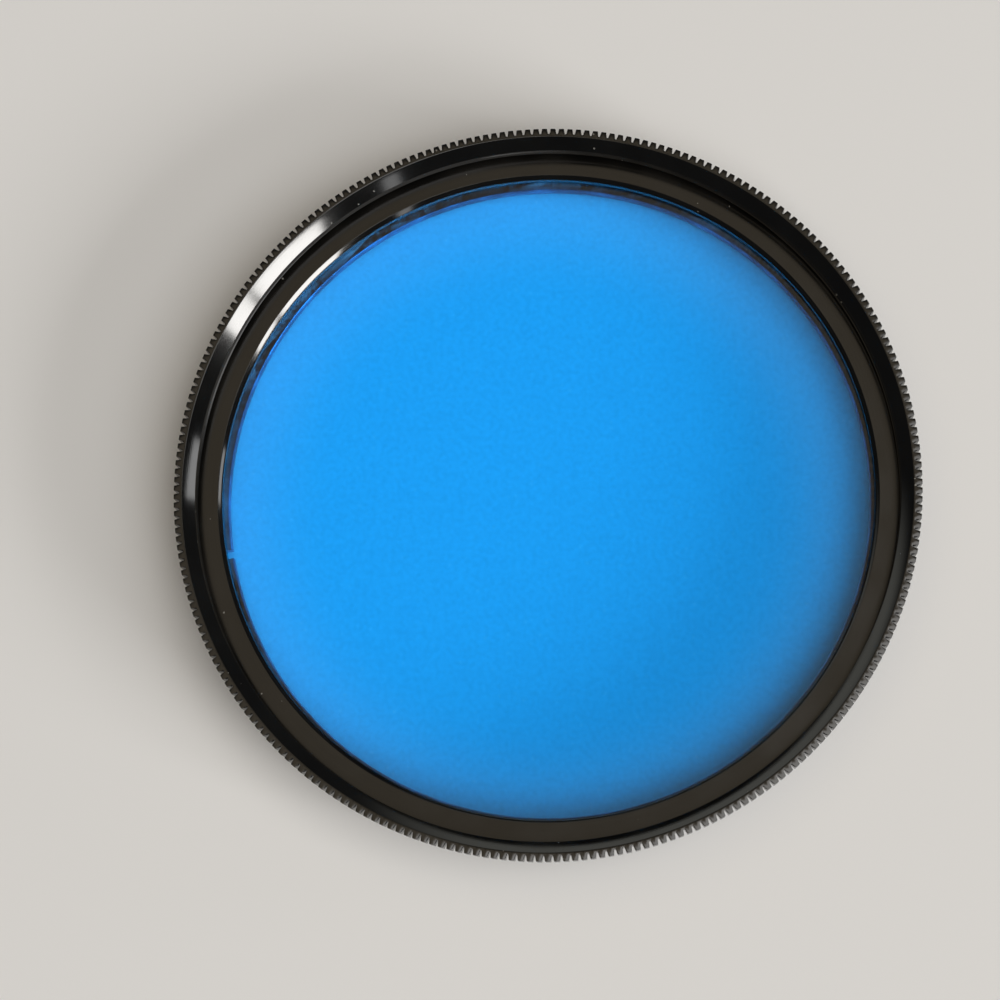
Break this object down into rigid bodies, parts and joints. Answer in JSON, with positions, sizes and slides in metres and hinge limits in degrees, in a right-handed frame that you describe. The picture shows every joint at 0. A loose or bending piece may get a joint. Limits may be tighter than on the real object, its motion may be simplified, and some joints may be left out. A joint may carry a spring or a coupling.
{
  "type": "colour conversion filter",
  "caption": "Round screw-in lens filter: blue glass disc in a black knurled ring with a front thread, a rear male thread and a split retaining ring behind the glass.",
  "frame": {"origin": "on the axis, at the rear end of the male thread, which the part stands on", "axes": "+Z along the axis, from the male thread to the knurled front rim; the gap of the split ring lies near -X"},
  "size_m": [0.054, 0.054, 0.0066],
  "materials": {
    "black_anodised_ring": "black anodised, satin, with a bright glossy bevel",
    "blue_glass": "polished, dyed in the mass",
    "black_retainer": "spring steel, blackened"
  },
  "bodies": {
    "root": {"mount_ring": "black_anodised_ring", "filter_glass": "blue_glass", "retaining_ring": "black_retainer"}
  },
  "joints": []
}
